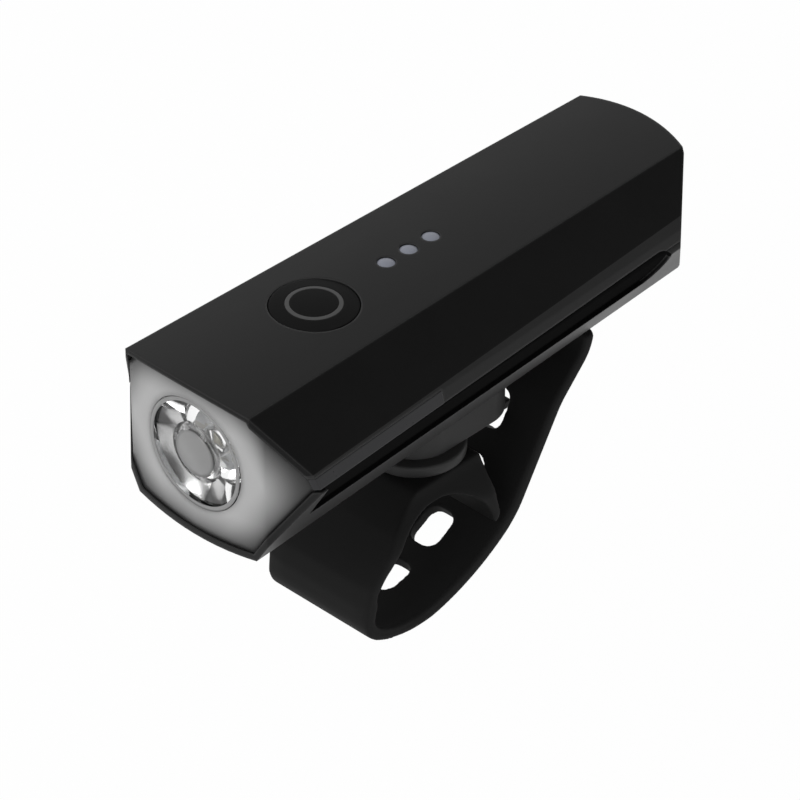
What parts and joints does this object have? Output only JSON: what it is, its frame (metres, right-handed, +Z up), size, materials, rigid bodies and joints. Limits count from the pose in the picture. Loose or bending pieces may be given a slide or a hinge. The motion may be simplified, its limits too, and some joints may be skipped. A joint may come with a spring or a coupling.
{
  "type": "bike headlight",
  "caption": "Slim rechargeable bicycle front light with a round optic in a milky lens, a top button, a swivelling bracket and a rubber handlebar strap.",
  "frame": {"origin": "on the handlebar's axis, at the centre of the strap's width", "axes": "+X along the handlebar to the rider's right as seen from the front of the lamp, -Y along the beam, +Z up"},
  "size_m": [0.0434, 0.1073, 0.0665],
  "materials": {
    "cover_plastic": "fine matt black",
    "case_plastic": "fine matt black",
    "bracket_plastic": "satin dark grey",
    "hook_plastic": "satin black",
    "lens_plastic": "milky translucent",
    "window_plastic": "smoky translucent",
    "optic_clear": "clear polished",
    "black_rubber": "matt",
    "button_rubber": "matt",
    "ring_paint": "satin grey",
    "pipe_plastic": "frosted",
    "inner_plastic": "moulded",
    "board_green": "solder mask",
    "board_white": "white solder mask",
    "led_package": "phosphor",
    "sink_aluminium": "bare",
    "wire_red": "insulated",
    "screw_steel": "zinc plated",
    "tab_nickel": "nickel strip",
    "cell_sleeve": "shrink sleeve",
    "pad_foam": "foam",
    "washer_nylon": "nylon"
  },
  "bodies": {
    "mount": {"swivel_base": "bracket_plastic", "friction_washer": "washer_nylon", "pivot_screw": "screw_steel", "pivot_nut": "screw_steel", "hook_plate": "hook_plastic", "strap_saddle": "black_rubber"},
    "lamp": {"top_cover": "cover_plastic", "bottom_case": "case_plastic", "front_lens": "lens_plastic", "side_windows": "window_plastic", "lens_seal": "black_rubber", "tir_optic": "optic_clear", "optic_holder": "inner_plastic", "led_emitter": "led_package", "led_board": "board_white", "heat_sink": "sink_aluminium", "led_leads": "wire_red", "main_board": "board_green", "tact_switch": "screw_steel", "indicator_pipes": "pipe_plastic", "indicator_leds": "led_package", "board_screws": "screw_steel", "battery_cell": "cell_sleeve", "battery_tabs": "tab_nickel", "battery_cradle": "inner_plastic", "cell_pad": "pad_foam", "charge_board": "board_green", "usb_socket": "screw_steel", "charge_leads": "wire_red", "case_gasket": "black_rubber", "case_screws": "screw_steel", "swivel_head": "bracket_plastic", "head_screws": "screw_steel"},
    "button": {"button_cap": "button_rubber", "button_ring": "ring_paint"},
    "plunger": {"switch_plunger": "inner_plastic"},
    "flap": {"usb_flap": "black_rubber"},
    "tail": {"strap_tail": "black_rubber"}
  },
  "joints": [
    {"name": "lamp_swivel", "type": "hinge", "parent": "mount", "child": "lamp", "pos_m": [0, 0.0053, 0.0191], "axis": [0, 0, 1], "range_deg": [-40, 40]},
    {"name": "button_press", "type": "slide", "parent": "lamp", "child": "button", "axis": [0, 0, -1], "range_m": [0, 0.0006], "stiffness_N_per_m": 800, "springref_m": -0.0005},
    {"name": "plunger_press", "type": "slide", "parent": "lamp", "child": "plunger", "axis": [0, 0, -1], "range_m": [0, 0.0006]},
    {"name": "flap_hinge", "type": "hinge", "parent": "lamp", "child": "flap", "pos_m": [0, 0.0601, 0.0347], "axis": [-1, 0, 0], "range_deg": [0, 110]},
    {"name": "strap_bend", "type": "hinge", "parent": "mount", "child": "tail", "pos_m": [0, -0.0119, -0.00795], "axis": [-1, 0, 0], "range_deg": [0, 75], "stiffness_Nm_per_rad": 0.02, "springref_deg": -6.88}
  ],
  "couplings": [
    {"joint": "plunger_press", "follows": "button_press", "ratio": 1}
  ]
}
